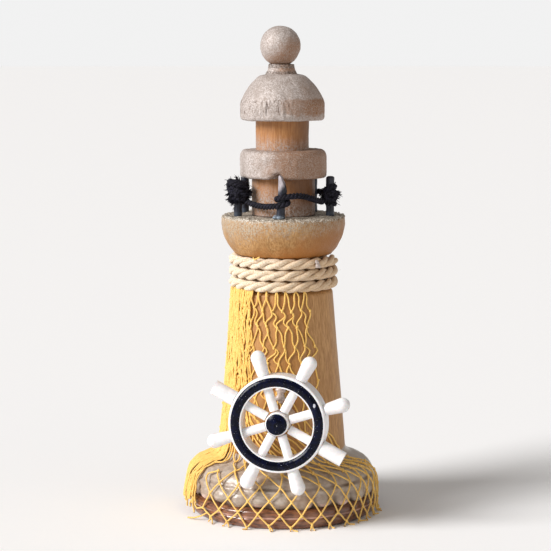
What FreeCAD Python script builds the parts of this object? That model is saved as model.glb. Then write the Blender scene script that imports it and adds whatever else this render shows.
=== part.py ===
import FreeCAD, Part
import math
import os
import Sketcher
from FreeCAD import Placement, Rotation, Vector

# A turned wooden lighthouse, 145 mm high, standing on a round base.  The origin is the middle of
# the base's underside, +Z runs up the tower and the side with the ship's wheel faces -Y.
# Heights are measured from the underside and radii from the tower's axis, in millimetres.

driving = {
    # base: a low plinth and a rounded mound with a ring of lobes round its foot
    "plinth_radius": "27.8", "plinth_waist": "28.4", "plinth_top": "5.6", "plinth_round": "1.2",
    "mound_radius": "28.3", "mound_shoulder": "10.6", "shoulder_bend": "5", "mound_wall": "6.8",
    "brow_radius": "25.6", "mound_brow": "14.6", "slope_radius": "22.8", "mound_slope": "15.75",
    "seat_radius": "20.4", "mound_seat": "16.7", "lip_radius": "19.2", "mound_top": "17.2",
    "mound_foot": "27.5",
    "lobe_radius": "3.3", "lobe_circle": "25.2", "lobe_height": "3.2", "lobe_count": "24",
    # tower, slightly tapered, with a narrower neck that the rope is wound on
    "tower_foot": "16.4", "tower_low_radius": "18.8", "tower_high_radius": "14.75",
    "tower_high": "66.5", "neck_radius": "13.0", "tower_top": "77.5",
    # gallery bowl and the turned stack above it
    "bowl_bottom_radius": "14.4", "bowl_side": "86.0", "bowl_radius": "18.45", "bowl_belly": "15",
    "bowl_rim_radius": "18.3", "floor": "89.0", "rim_round": "0.9",
    "watch_radius": "9.4", "disc_bottom": "100.3", "disc_radius": "12.85", "disc_top": "108.5",
    "disc_round": "1.5", "disc_low_round": "0.7",
    "lantern_radius": "7.9", "roof_bottom": "117.2", "roof_radius": "12.5", "roof_edge": "122.4",
    "roof_shoulder_radius": "6.7", "roof_shoulder": "130.3", "roof_dome": "17", "roof_top": "130.7",
    "roof_low_round": "0.8", "roof_edge_round": "3", "roof_cap_radius": "4.9",
    "collar_top": "133.3", "collar_low_radius": "4.7", "collar_high_radius": "3.8",
    "ball_radius": "6.02", "ball_middle": "138.98", "ball_seat_depth": "2", "ball_seat_radius": "5.7",
    "roof_shift": "0.3", "ball_shift": "0.9", "drill_over": "1",
    # dowels inside the stack
    "foot_dowel_radius": "4", "foot_dowel_low": "9", "foot_dowel_high": "26",
    "gallery_dowel_radius": "3", "gallery_dowel_low": "70", "gallery_dowel_high": "83",
    "spindle_radius": "2.5", "spindle_low": "84.5", "spindle_high": "104",
    "roof_dowel_low": "104.4", "roof_dowel_high": "123",
    "pin_radius": "1.2", "pin_bore": "1.55", "pin_low": "126", "pin_high": "137", "pin_shift": "0.6",
    # rail posts, named by where they stand, and the cord tied round them
    "post_radius": "1.2", "post_circle": "14.3", "post_low": "85", "post_chamfer": "0.25",
    "front_angle": "-95", "front_high": "101.9", "left_angle": "-160", "left_high": "99.8",
    "rear_left_angle": "144", "rear_left_high": "99.9", "rear_right_angle": "50",
    "rear_right_high": "100.2", "right_angle": "-15", "right_high": "100.8",
    "front_cut_depth": "5.2", "front_cut_width": "1.92", "front_cut_side": "0.72",
    "post_blade": "10.4", "cord_radius": "0.95",
    "left_knot_width": "3.55", "left_knot_half": "3.8", "left_knot_middle": "96.5",
    "right_knot_width": "3.05", "right_knot_half": "3.5", "right_knot_middle": "96.0",
    # rope wound on the tower's neck
    "rope_radius": "1.65", "rope_wind": "14.75", "rope_low": "69.1", "rope_pitch": "3.35",
    "rope_start": "125", "rope_turn_points": "16", "rope_points": "43",
    # fishing net hung from under the rope, over the mound and down to the floor
    "net_gap": "0.25", "net_thick": "1.1", "net_high": "67.2", "net_band_start": "176",
    "net_band_sweep": "129", "net_skirt_start": "168", "net_skirt_sweep": "186", "net_knee": "18.6",
    "net_seat_radius": "20.9", "net_seat": "17.4", "net_brow_radius": "26.1", "net_brow": "15.5",
    "net_shoulder_radius": "28.9", "net_shoulder": "11.6", "net_out": "0.8", "net_up": "0.9",
    "net_fall": "4", "net_low": "0.5", "net_hem": "30.2",
    # ship's wheel, built face up about its own middle and then stood in its place
    "wheel_side": "-1.6", "wheel_front": "-30", "wheel_height": "32.1",
    "wheel_yaw": "11", "wheel_lean": "2", "wheel_turn": "-17.7",
    "rim_outer": "14.15", "rim_inner": "10.5", "rim_back": "4.2", "rim_face": "2.4",
    "rim_edge": "0.6", "band_outer": "13.45", "band_inner": "10.85",
    "band_crown": "1.8", "hub_radius": "3.4", "hub_back": "3.0", "hub_face": "2.4", "hub_edge": "0.5",
    "cap_radius": "3.0", "cap_wall": "0.4", "cap_rise": "1.1", "cap_crown": "6",
    "dimple_radius": "0.5", "dimple_depth": "0.3", "spoke_radius": "1.33", "handle_gap": "0.05",
    "spoke_start": "3.75", "spoke_fit": "0.04", "handle_root": "1.65", "handle_swell": "2.15",
    "handle_tip": "2.3", "handle_swell_at": "19.4", "handle_end": "21.7", "stub_end": "21.2",
    "stub_radius": "2.2",
    "peg_radius": "2.6", "peg_length": "12",
}

doc = FreeCAD.newDocument("Lighthouse")
sheet = doc.addObject("Spreadsheet::Sheet", "Sizes")
for row, (alias, value) in enumerate(driving.items(), start=1):
    sheet.set(f"A{row}", alias)
    sheet.set(f"B{row}", value)
    sheet.setAlias(f"B{row}", alias)
doc.recompute()
size = {alias: float(sheet.get(alias)) for alias in driving}
parts = []


def isNumber(word):
    return word.replace(".", "", 1).isdigit()


def number(text):
    """The value of a sum of sheet names and numbers, such as 'floor - rim_round'."""
    total, sign = 0.0, 1
    for word in text.split():
        if word in ("+", "-"):
            sign = 1 if word == "+" else -1
        else:
            total += sign * (float(word) if isNumber(word) else size[word])
    return total


def formula(text):
    """The same sum as an expression on the sheet's cells."""
    return " ".join(w if w in ("+", "-") or isNumber(w) else "Sizes." + w for w in text.split())


def bind(item, **settings):
    """Bind properties of an object to sums; two underscores in a name stand for a dot."""
    for name, text in settings.items():
        item.setExpression(name.replace("__", "."), formula(text))


def keep(item, label):
    """Give a finished piece its name and put it on the list of pieces to write."""
    item.Label = label
    parts.append(item)
    return item


# sketches and bodies


def newBody(name):
    return doc.addObject("PartDesign::Body", name + "_body")


def newSketch(body, name, role):
    """An empty sketch on one of the body's own origin planes."""
    sketch = body.newObject("Sketcher::SketchObject", name)
    plane = next(p for p in body.Origin.OriginFeatures if p.Role == role)
    sketch.AttachmentSupport = [(plane, "")]
    sketch.MapMode = "FlatFace"
    return sketch


def arcMiddle(start, end, radius):
    """A point half way round an arc that bulges to the left of the way from start to end."""
    chord = end - start
    half = chord.Length / 2
    rise = radius - math.sqrt(radius * radius - half * half)
    return (start + end) * 0.5 + Vector(-chord.y, chord.x, 0).normalize() * rise


def pinPoint(sketch, geometry, end, place):
    """Fix one point of the outline at its (radius, height) in the sheet."""
    for axis, kind, text in ((-2, "DistanceX", place[0]), (-1, "DistanceY", place[1])):
        if text == "0":
            sketch.addConstraint(Sketcher.Constraint("PointOnObject", geometry, end, axis))
            continue
        index = sketch.addConstraint(Sketcher.Constraint(kind, -1, 1, geometry, end, number(text)))
        sketch.setExpression(f"Constraints[{index}]", formula(text))


def outline(sketch, places):
    """A closed outline through (radius, height[, arc radius]) places, listed clockwise."""
    spots = [Vector(number(p[0]), number(p[1]), 0) for p in places]
    joints = []
    for index, place in enumerate(places):
        start, end = spots[index - 1], spots[index]
        if len(place) == 3:
            bend = number(place[2])
            edge = sketch.addGeometry(Part.Arc(start, arcMiddle(start, end, bend), end), False)
            radius = sketch.addConstraint(Sketcher.Constraint("Radius", edge, bend))
            sketch.setExpression(f"Constraints[{radius}]", formula(place[2]))
        else:
            edge = sketch.addGeometry(Part.LineSegment(start, end), False)
        first = 1 if sketch.getPoint(edge, 1).distanceToPoint(start) < 1e-6 else 2
        joints.append((edge, first, 3 - first))
    for index, (edge, first, last) in enumerate(joints):
        following, nextFirst, _ = joints[(index + 1) % len(joints)]
        sketch.addConstraint(Sketcher.Constraint("Coincident", edge, last, following, nextFirst))
        pinPoint(sketch, edge, last, places[index])


def turn(body, name, places):
    """Spin an outline on the body's XZ plane a full turn about the vertical axis."""
    sketch = newSketch(body, name + "_outline", "XZ_Plane")
    outline(sketch, places)
    spun = body.newObject("PartDesign::Revolution", name)
    spun.Profile = sketch
    spun.ReferenceAxis = (sketch, ["V_Axis"])
    spun.Angle = 360
    return spun


def roundRing(body, name, radius, height, fillet):
    """Fillet the circular edge of this radius at this height."""
    doc.recompute()
    base = body.Tip
    wanted = [number(radius), number(height)]
    names = []
    for index, edge in enumerate(base.Shape.Edges, start=1):
        if not isinstance(edge.Curve, Part.Circle):
            continue
        found = [edge.Curve.Radius, edge.Curve.Center.z]
        if math.dist(found, wanted) < 0.01:
            names.append(f"Edge{index}")
    rounded = body.newObject("PartDesign::Fillet", name)
    rounded.Base = (base, names)
    bind(rounded, Radius=fillet)
    return rounded


def turned(name, places, rounds=()):
    """A lathe-turned piece: an outline spun about the axis, with some of its edges rounded."""
    body = newBody(name)
    turn(body, name + "_turned", places)
    for index, (radius, height, fillet) in enumerate(rounds):
        roundRing(body, f"{name}_round_{index}", radius, height, fillet)
    doc.recompute()
    return body


def dowel(name, radius, low, high, shift=None):
    rod = doc.addObject("Part::Cylinder", name + "_rod")
    bind(rod, Radius=radius, Height=f"{high} - {low}", Placement__Base__z=low)
    if shift:
        rod.setExpression("Placement.Base.x", f"-Sizes.{shift}")
    return keep(rod, name)


def shifted(body, shift):
    body.setExpression("Placement.Base.x", f"-Sizes.{shift}")
    return body


# base and tower


def makePlinth():
    places = [("0", "plinth_top"), ("plinth_waist", "plinth_top"), ("plinth_waist", "plinth_round"),
              ("plinth_radius", "0"), ("0", "0")]
    body = turned("base_plinth", places, [("plinth_waist", "plinth_top", "plinth_round")])
    return keep(body, "base_plinth")


def makeMound():
    """The mound has a socket for the foot dowel and a shallow seat for the tower."""
    places = [
        ("foot_dowel_radius", "tower_foot"), ("tower_low_radius", "tower_foot"),
        ("lip_radius", "mound_top"), ("seat_radius", "mound_seat"), ("slope_radius", "mound_slope"),
        ("brow_radius", "mound_brow"), ("mound_radius", "mound_shoulder", "shoulder_bend"),
        ("mound_radius", "mound_wall"), ("mound_foot", "plinth_top"), ("0", "plinth_top"),
        ("0", "foot_dowel_low"), ("foot_dowel_radius", "foot_dowel_low"),
    ]
    body = turned("base_mound", places)
    lobe = newSketch(body, "lobe_outline", "XZ_Plane")
    ring = [("lobe_circle", "plinth_top + lobe_height"),
            ("lobe_circle + lobe_radius", "plinth_top", "lobe_radius"), ("lobe_circle", "plinth_top")]
    outline(lobe, ring)
    spun = body.newObject("PartDesign::Revolution", "lobe")
    spun.Profile = lobe
    axis = lobe.addGeometry(Part.LineSegment(Vector(number("lobe_circle"), 0, 0),
                                             Vector(number("lobe_circle"), 1, 0)), True)
    lobe.addConstraint(Sketcher.Constraint("Vertical", axis))
    lobe.addConstraint(Sketcher.Constraint("Distance", axis, 1))
    pinPoint(lobe, axis, 1, ("lobe_circle", "0"))
    spun.ReferenceAxis = (lobe, ["Axis0"])
    spun.Angle = 360
    doc.recompute()
    ringOfLobes = body.newObject("PartDesign::PolarPattern", "lobe_ring")
    ringOfLobes.Originals = [spun]
    ringOfLobes.Axis = (lobe, ["V_Axis"])
    ringOfLobes.Angle = 360
    bind(ringOfLobes, Occurrences="lobe_count")
    body.Tip = ringOfLobes
    return keep(body, "base_mound")


def makeTower():
    places = [
        ("gallery_dowel_radius", "tower_top"), ("neck_radius", "tower_top"),
        ("neck_radius", "tower_high"), ("tower_high_radius", "tower_high"),
        ("tower_low_radius", "tower_foot"), ("foot_dowel_radius", "tower_foot"),
        ("foot_dowel_radius", "foot_dowel_high"), ("0", "foot_dowel_high"),
        ("0", "gallery_dowel_low"), ("gallery_dowel_radius", "gallery_dowel_low"),
    ]
    return keep(turned("tower_body", places), "tower_body")


# the stack above the tower


postNames = ("front", "left", "rear_left", "rear_right", "right")


def postPlacement(item, name):
    """Stand an item, modelled about the origin, where this post goes."""
    for axis, wave in (("x", "cos"), ("y", "sin")):
        item.setExpression(f"Placement.Base.{axis}",
                           f"Sizes.post_circle * {wave}(Sizes.{name}_angle)")
    bind(item, Placement__Base__z="post_low")


def makeGalleryBowl():
    places = [
        ("spindle_radius", "floor"), ("bowl_rim_radius", "floor"), ("bowl_radius", "bowl_side"),
        ("bowl_bottom_radius", "tower_top", "bowl_belly"), ("gallery_dowel_radius", "tower_top"),
        ("gallery_dowel_radius", "gallery_dowel_high"), ("0", "gallery_dowel_high"),
        ("0", "spindle_low"), ("spindle_radius", "spindle_low"),
    ]
    body = turned("gallery_bowl", places, [("bowl_rim_radius", "floor", "rim_round")])
    sockets = []
    for name in postNames:
        socket = doc.addObject("Part::Cylinder", f"{name}_socket")
        bind(socket, Radius="post_radius", Height="floor - post_low + drill_over")
        postPlacement(socket, name)
        sockets.append(socket)
    drills = doc.addObject("Part::MultiFuse", "post_sockets")
    drills.Shapes = sockets
    drilled = doc.addObject("Part::Cut", "drilled_bowl")
    drilled.Base = body
    drilled.Tool = drills
    return keep(drilled, "gallery_bowl")


def makeWatchRoom():
    places = [("spindle_radius", "disc_bottom"), ("watch_radius", "disc_bottom"),
              ("watch_radius", "floor"), ("spindle_radius", "floor")]
    return keep(turned("watch_room", places), "watch_room")


def makeLanternDisc():
    """Its upper socket is drilled a little wide, because the roof sits off the tower's axis."""
    wide = "spindle_radius + roof_shift"
    places = [
        (wide, "disc_top"), ("disc_radius", "disc_top"), ("disc_radius", "disc_bottom"),
        ("spindle_radius", "disc_bottom"), ("spindle_radius", "spindle_high"), ("0", "spindle_high"),
        ("0", "roof_dowel_low"), (wide, "roof_dowel_low"),
    ]
    rounds = [("disc_radius", "disc_top", "disc_round"),
              ("disc_radius", "disc_bottom", "disc_low_round")]
    return keep(turned("lantern_disc", places, rounds), "lantern_disc")


def makeLanternNeck():
    places = [("spindle_radius", "roof_bottom"), ("lantern_radius", "roof_bottom"),
              ("lantern_radius", "disc_top"), ("spindle_radius", "disc_top")]
    return keep(shifted(turned("lantern_neck", places), "roof_shift"), "lantern_neck")


def makeRoof():
    places = [
        ("pin_bore", "roof_top"), ("roof_cap_radius", "roof_top"),
        ("roof_shoulder_radius", "roof_shoulder"), ("roof_radius", "roof_edge", "roof_dome"),
        ("roof_radius", "roof_bottom"), ("spindle_radius", "roof_bottom"),
        ("spindle_radius", "roof_dowel_high"), ("0", "roof_dowel_high"), ("0", "pin_low"),
        ("pin_bore", "pin_low"),
    ]
    rounds = [("roof_radius", "roof_edge", "roof_edge_round"),
              ("roof_radius", "roof_bottom", "roof_low_round")]
    return keep(shifted(turned("roof_dome", places, rounds), "roof_shift"), "roof_dome")


def makeCollar():
    places = [("pin_bore", "collar_top"), ("collar_high_radius", "collar_top"),
              ("collar_low_radius", "roof_top"), ("pin_bore", "roof_top")]
    return keep(shifted(turned("finial_collar", places), "pin_shift"), "finial_collar")


def makeBall():
    """A sphere drilled from below for the pin and seated on the collar."""
    ball = doc.addObject("Part::Sphere", "ball")
    bind(ball, Radius="ball_radius", Placement__Base__z="ball_middle")
    drill = doc.addObject("Part::Cylinder", "ball_drill")
    bind(drill, Radius="pin_bore", Height="pin_high - collar_top + drill_over",
         Placement__Base__z="collar_top - drill_over")
    seat = doc.addObject("Part::Cylinder", "ball_seat")
    bind(seat, Radius="ball_seat_radius", Height="ball_seat_depth",
         Placement__Base__z="collar_top - ball_seat_depth")
    tools = doc.addObject("Part::MultiFuse", "ball_tools")
    tools.Shapes = [drill, seat]
    drilled = doc.addObject("Part::Cut", "drilled_ball")
    drilled.Base = ball
    drilled.Tool = tools
    return keep(shifted(drilled, "ball_shift"), "finial_ball")


def makeDowels():
    dowel("tower_foot_dowel", "foot_dowel_radius", "foot_dowel_low", "foot_dowel_high")
    dowel("gallery_dowel", "gallery_dowel_radius", "gallery_dowel_low", "gallery_dowel_high")
    dowel("lantern_spindle", "spindle_radius", "spindle_low", "spindle_high")
    dowel("roof_dowel", "spindle_radius", "roof_dowel_low", "roof_dowel_high", "roof_shift")
    dowel("finial_pin", "pin_radius", "pin_low", "pin_high", "pin_shift")


# rail round the gallery


def makePost(name):
    """A round peg; the front one is cut off at a slant and the others have a small chamfer."""
    peg = doc.addObject("Part::Cylinder", f"{name}_peg")
    bind(peg, Radius="post_radius", Height=f"{name}_high - post_low")
    if name == "front":
        blade = doc.addObject("Part::Box", "post_blade")
        bind(blade, Length="post_blade", Width="post_blade", Height="front_cut_depth",
             Placement__Base__z="front_high - post_low")
        slant = math.degrees(math.atan2(size["front_cut_depth"], size["front_cut_width"]))
        blade.Placement.Rotation = Rotation(Vector(0, 1, 0), slant)
        blade.setExpression("Placement.Base.x", "-Sizes.front_cut_side")
        blade.setExpression("Placement.Base.y", "-Sizes.front_cut_depth")
        shaped = doc.addObject("Part::Cut", "front_post")
        shaped.Base = peg
        shaped.Tool = blade
    else:
        doc.recompute()
        top = number(f"{name}_high - post_low")
        ring = next(i for i, edge in enumerate(peg.Shape.Edges, start=1)
                    if isinstance(edge.Curve, Part.Circle) and abs(edge.Curve.Center.z - top) < 0.01)
        shaped = doc.addObject("Part::Chamfer", f"{name}_post")
        shaped.Base = peg
        shaped.Edges = [(ring, size["post_chamfer"], size["post_chamfer"])]
    postPlacement(shaped, name)
    return keep(shaped, f"rail_post_{name}")


def tubeAlong(points, radius, label):
    """A round tube of straight runs joined by arcs as large as the runs allow."""
    edges, radii, here = [], [], points[0]
    for before, corner, after in zip(points, points[1:], points[2:]):
        back, ahead = before - corner, after - corner
        half = (math.pi - back.getAngle(ahead)) / 2
        trim = 0.45 * min(back.Length, ahead.Length)
        start = corner + back.normalize() * trim
        end = corner + ahead.normalize() * trim
        bend = trim / math.tan(half)
        inward = (back + ahead).normalize()
        middle = corner + inward * (bend / math.cos(half) - bend)
        edges += [Part.LineSegment(here, start).toShape(), Part.Arc(start, middle, end).toShape()]
        radii.append(bend)
        here = end
    edges.append(Part.LineSegment(here, points[-1]).toShape())
    path = Part.Wire(edges)
    section = Part.Wire(Part.Circle(points[0], points[1] - points[0], radius).toShape())
    tube = Part.Wire(path).makePipeShell([section], True, False)
    expected = math.pi * radius * radius * path.Length
    print(f"{label}: length {path.Length:.1f} mm, tightest bend {min(radii):.2f} mm,"
          f" volume {tube.Volume / expected:.4f} of section times length")
    print("  bend radii", " ".join(f"{r:.1f}" for r in radii))
    return tube


# the cord's hand-chosen points, in millimetres: one cord in front, one behind
frontRoute = [
    (-10.6, -6.9, 93.2), (-7.3, -10.9, 92.2), (-3.9, -16.2, 92.9), (1.1, -16.6, 93.5),
    (1.2, -11.9, 94.1), (-3.6, -11.9, 94.9), (-3.7, -16.6, 95.5), (1.6, -16.7, 96.0),
    (5.4, -13.6, 95.9), (8.7, -10.1, 94.6), (11.4, -6.5, 93.8),
]
backRoute = [
    (13.9, -0.6, 94.8), (13.9, 4.8, 93.9), (12.6, 11.0, 94.8), (9.0, 14.3, 95.0),
    (2.8, 14.2, 93.8), (-4.2, 13.2, 93.5), (-11.1, 11.95, 94.7), (-14.8, 8.7, 94.8),
    (-14.9, 3.4, 94.0), (-14.3, -1.3, 94.7),
]


def makeCord(route, name):
    cord = doc.addObject("Part::Feature", name + "_tube")
    cord.Shape = tubeAlong([Vector(*point) for point in route], size["cord_radius"], name)
    return keep(cord, name)


def makeKnot(name, post, cords):
    """A frayed knot round a post: an ellipsoid with room for the post and the cords' ends."""
    lump = doc.addObject("Part::Ellipsoid", f"{name}_lump")
    bind(lump, Radius1=f"{name}_knot_half", Radius2=f"{name}_knot_width",
         Radius3=f"{name}_knot_width")
    for axis, wave in (("x", "cos"), ("y", "sin")):
        lump.setExpression(f"Placement.Base.{axis}",
                           f"Sizes.post_circle * {wave}(Sizes.{name}_angle)")
    bind(lump, Placement__Base__z=f"{name}_knot_middle")
    inside = doc.addObject("Part::MultiFuse", f"{name}_knot_room")
    inside.Shapes = [post] + cords
    knot = doc.addObject("Part::Cut", f"{name}_knot")
    knot.Base = lump
    knot.Tool = inside
    return keep(knot, f"rail_knot_{name}")


def makeRail():
    posts = {name: makePost(name) for name in postNames}
    cords = [makeCord(frontRoute, "rail_cord_front"), makeCord(backRoute, "rail_cord_back")]
    makeKnot("left", posts["left"], cords)
    makeKnot("right", posts["right"], cords)


# rope and net


def ropePoint(step):
    """A point of the rope, which climbs one pitch in the hidden third of a turn at the back."""
    perTurn = round(size["rope_turn_points"])
    turns, part = divmod(step, perTurn)
    climb = max(0.0, part / perTurn - 2 / 3) * 3
    rise = climb * climb * (3 - 2 * climb)
    angle = math.radians(size["rope_start"]) + 2 * math.pi * step / perTurn
    reach = size["rope_wind"] / math.cos(math.pi / perTurn)
    height = size["rope_low"] + size["rope_pitch"] * (turns + rise)
    return Vector(reach * math.cos(angle), reach * math.sin(angle), height)


def makeNeckRope():
    """Three turns, lying side by side, with the step from turn to turn at the back."""
    rope = doc.addObject("Part::Feature", "neck_rope_tube")
    route = [ropePoint(step) for step in range(round(size["rope_points"]))]
    rope.Shape = tubeAlong(route, size["rope_radius"], "neck_rope")
    return keep(rope, "neck_rope")


def netSketch(body, name, start, inner, outer):
    """A net's section: inner places listed downwards, then the outer ones back up."""
    sketch = newSketch(body, name, "XZ_Plane")
    sketch.AttachmentOffset = Placement(Vector(), Rotation(Vector(0, 1, 0), size[start]))
    outline(sketch, outer + inner[::-1])
    return sketch


def sweepNet(body, sketch, name, sweep):
    spun = body.newObject("PartDesign::Revolution", name)
    spun.Profile = sketch
    spun.ReferenceAxis = (sketch, ["V_Axis"])
    bind(spun, Angle=sweep)
    return spun


def makeNet():
    """The net's wrapped form: a band on the tower and a skirt over the base."""
    body = newBody("net")
    band = [("tower_high_radius + net_gap", "net_high"), ("tower_low_radius + net_gap", "net_knee")]
    cover = [(radius + " + net_thick", height) for radius, height in band]
    sketch = netSketch(body, "band_outline", "net_band_start", band, cover)
    sweepNet(body, sketch, "band", "net_band_sweep")
    slope = [(f"net_{part}_radius", f"net_{part}") for part in ("seat", "brow", "shoulder")]
    raised = [(radius + " + net_out", height + " + net_up") for radius, height in slope]
    inner = band[1:] + slope + [("net_hem - net_thick", "net_fall"), ("net_hem - net_thick", "net_low")]
    outer = cover[1:] + raised + [("net_hem", "net_fall"), ("net_hem", "net_low")]
    skirt = netSketch(body, "skirt_outline", "net_skirt_start", inner, outer)
    sweepNet(body, skirt, "skirt", "net_skirt_sweep")
    opened = doc.addObject("Part::Cut", "opened_net")
    opened.Base = body
    opened.Tool = behindHub("peg_opening", "peg_radius + net_gap")
    return keep(opened, "fishing_net")


# ship's wheel


def wheelPlacement(item, turnBy=0.0):
    """Stand a piece modelled face up: tip it upright, turn it to the left and put it in place."""
    upright = Rotation(Vector(1, 0, 0), 90 - size["wheel_lean"])
    yaw = Rotation(Vector(0, 0, 1), -size["wheel_yaw"])
    spin = Rotation(Vector(0, 0, 1), turnBy)
    item.Placement = Placement(Vector(), yaw * upright * spin)
    bind(item, Placement__Base__x="wheel_side", Placement__Base__y="wheel_front",
         Placement__Base__z="wheel_height")
    return item


def spokeAngles():
    """The eight spokes' directions, anticlockwise from the wheel's own X."""
    return [90 - size["wheel_turn"] - 45 * index for index in range(8)]


def makeRim():
    """A deep ring with soft edges and a round hole for each spoke."""
    body = newBody("wheel_rim")
    places = [("rim_inner", "rim_face + rim_back"), ("rim_outer", "rim_face + rim_back"),
              ("rim_outer", "0"), ("rim_inner", "0")]
    turn(body, "rim_turned", places)
    roundRing(body, "rim_front_edge", "rim_outer", "rim_face + rim_back", "rim_edge")
    roundRing(body, "rim_back_edge", "rim_outer", "0", "rim_edge")
    doc.recompute()
    drills = []
    for index, angle in enumerate(spokeAngles()):
        drill = doc.addObject("Part::Cylinder", f"rim_drill_{index}")
        bind(drill, Radius="spoke_radius + spoke_fit", Height="rim_outer")
        drill.Placement.Rotation = Rotation(Vector(0, 0, 1), angle) * Rotation(Vector(0, 1, 0), 90)
        bind(drill, Placement__Base__z="rim_back")
        drills.append(drill)
    holes = doc.addObject("Part::MultiFuse", "rim_holes")
    holes.Shapes = drills
    drilled = doc.addObject("Part::Cut", "drilled_rim")
    drilled.Base = body
    drilled.Tool = holes
    return drilled


def placeLowered(item, drop):
    """Lower a piece modelled from height 0 up by this much, then stand it in the wheel."""
    wheelPlacement(item)
    back = item.Placement.Rotation.multVec(Vector(0, 0, -1))
    for axis, cell in (("x", "wheel_side"), ("y", "wheel_front"), ("z", "wheel_height")):
        item.setExpression(f"Placement.Base.{axis}",
                           f"Sizes.{cell} + ({formula(drop)}) * ({getattr(back, axis):.6f})")
    return item


def makeBand():
    """The half-round navy band on the rim's face."""
    face = "rim_face + rim_back"
    places = [("band_inner", face), ("band_outer", face, "band_crown")]
    body = newBody("wheel_band")
    turn(body, "band_turned", places)
    doc.recompute()
    return body


def makeHub():
    places = [("0", "hub_face + hub_back"), ("hub_radius", "hub_face + hub_back"),
              ("hub_radius", "0"), ("0", "0")]
    return turned("wheel_hub", places, [("hub_radius", "hub_face + hub_back", "hub_edge")])


def makeCap():
    """A low domed cap with a small dimple in its middle."""
    face = "hub_face + hub_back"
    places = [("0", face + " + cap_rise - dimple_depth"), ("dimple_radius", face + " + cap_rise"),
              ("cap_radius", face + " + cap_wall", "cap_crown"), ("cap_radius", face), ("0", face)]
    return turned("wheel_hub_cap", places)


def makeSpoke(index, angle):
    """A turned spoke and handle; two of the eight handles are plain stubs with a flat end."""
    body = newBody(f"wheel_spoke_{index + 1}")
    rim = "rim_outer + handle_gap"
    if index in (3, 7):
        places = [("0", "stub_end"), ("stub_radius", "stub_end"), ("stub_radius", rim)]
    else:
        places = [("0", "handle_end"), ("handle_swell", "handle_swell_at", "handle_tip"),
                  ("handle_root", rim)]
    places += [("spoke_radius", rim), ("spoke_radius", "spoke_start"), ("0", "spoke_start")]
    sketch = newSketch(body, f"spoke_outline_{index}", "XZ_Plane")
    outline(sketch, places)
    spun = body.newObject("PartDesign::Revolution", f"spoke_{index}")
    spun.Profile = sketch
    spun.ReferenceAxis = (sketch, ["V_Axis"])
    spun.Angle = 360
    doc.recompute()
    # the piece is modelled standing on +Z; lay it along the wheel's own X, then turn it
    wheelPlacement(body, angle)
    body.Placement.Rotation = body.Placement.Rotation * Rotation(Vector(0, 1, 0), 90)
    return keep(body, f"wheel_spoke_{index + 1}")


def behindHub(name, radius):
    """A round bar that runs back from the hub's back face into the tower."""
    bar = doc.addObject("Part::Cylinder", name)
    bind(bar, Radius=radius, Height="peg_length")
    return placeLowered(bar, "peg_length + hub_back")


def makePeg(tower):
    """The peg that holds the hub off the tower, scribed to the tower's side."""
    peg = doc.addObject("Part::Cut", "scribed_peg")
    peg.Base = behindHub("peg_bar", "peg_radius")
    peg.Tool = tower
    return keep(peg, "wheel_peg")


makePlinth()
makeMound()
tower = makeTower()
makeGalleryBowl()
makeWatchRoom()
makeLanternDisc()
makeLanternNeck()
makeRoof()
makeCollar()
makeBall()
makeDowels()
makeRail()
makeNeckRope()
makeNet()
makePeg(tower)
keep(placeLowered(makeRim(), "rim_back"), "wheel_rim")
keep(placeLowered(makeBand(), "rim_back"), "wheel_band")
keep(placeLowered(makeHub(), "hub_back"), "wheel_hub")
keep(placeLowered(makeCap(), "hub_back"), "wheel_hub_cap")
for index, angle in enumerate(spokeAngles()):
    makeSpoke(index, angle)

doc.recompute()
for item in doc.Objects:
    if {"Invalid", "Error"} & set(item.State):
        raise SystemExit(f"{item.Name} ({item.Label}) failed: {item.State}")
for item in parts:
    if item.Shape.isNull() or not item.Shape.isValid():
        raise SystemExit(f"{item.Label} has no valid shape")
    box = item.Shape.optimalBoundingBox()
    print(f"{item.Label:22s} volume {item.Shape.Volume:9.1f}"
          f"  x {box.XMin:7.2f} {box.XMax:7.2f}  y {box.YMin:7.2f} {box.YMax:7.2f}"
          f"  z {box.ZMin:7.2f} {box.ZMax:7.2f}  solids {len(item.Shape.Solids)}")

os.makedirs("parts", exist_ok=True)
for item in parts:
    item.Shape.exportStep(f"parts/{item.Label}.step")
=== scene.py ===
import math
import random

import bpy
from mathutils import Matrix, Vector, noise


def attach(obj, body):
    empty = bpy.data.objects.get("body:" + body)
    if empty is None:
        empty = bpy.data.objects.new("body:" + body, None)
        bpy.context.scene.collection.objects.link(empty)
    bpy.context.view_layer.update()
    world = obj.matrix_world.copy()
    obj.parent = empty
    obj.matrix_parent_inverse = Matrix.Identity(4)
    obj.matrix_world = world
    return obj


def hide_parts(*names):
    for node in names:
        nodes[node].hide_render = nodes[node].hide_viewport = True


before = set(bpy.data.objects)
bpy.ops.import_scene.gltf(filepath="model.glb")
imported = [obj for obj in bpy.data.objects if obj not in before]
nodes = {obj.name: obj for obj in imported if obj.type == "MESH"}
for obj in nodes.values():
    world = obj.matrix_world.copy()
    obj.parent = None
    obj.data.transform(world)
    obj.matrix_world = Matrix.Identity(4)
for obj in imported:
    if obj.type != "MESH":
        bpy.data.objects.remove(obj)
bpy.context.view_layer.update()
mm = 0.001
dice = random.Random(11)


# the way pieces are picked up, shaped and put down

def putDown():
    if bpy.context.object and bpy.context.object.mode != "OBJECT":
        bpy.ops.object.mode_set(mode="OBJECT")
    bpy.ops.object.select_all(action="DESELECT")


def pickUp(*pieces):
    putDown()
    for piece in pieces:
        piece.select_set(True)
    bpy.context.view_layer.objects.active = pieces[0]
    return pieces[0]


def joined(name, pieces):
    pickUp(*pieces)
    if len(pieces) > 1:
        bpy.ops.object.join()
    piece = bpy.context.object
    bpy.ops.object.transform_apply(location=True, rotation=True, scale=True)
    piece.name = piece.data.name = name
    return piece


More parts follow.
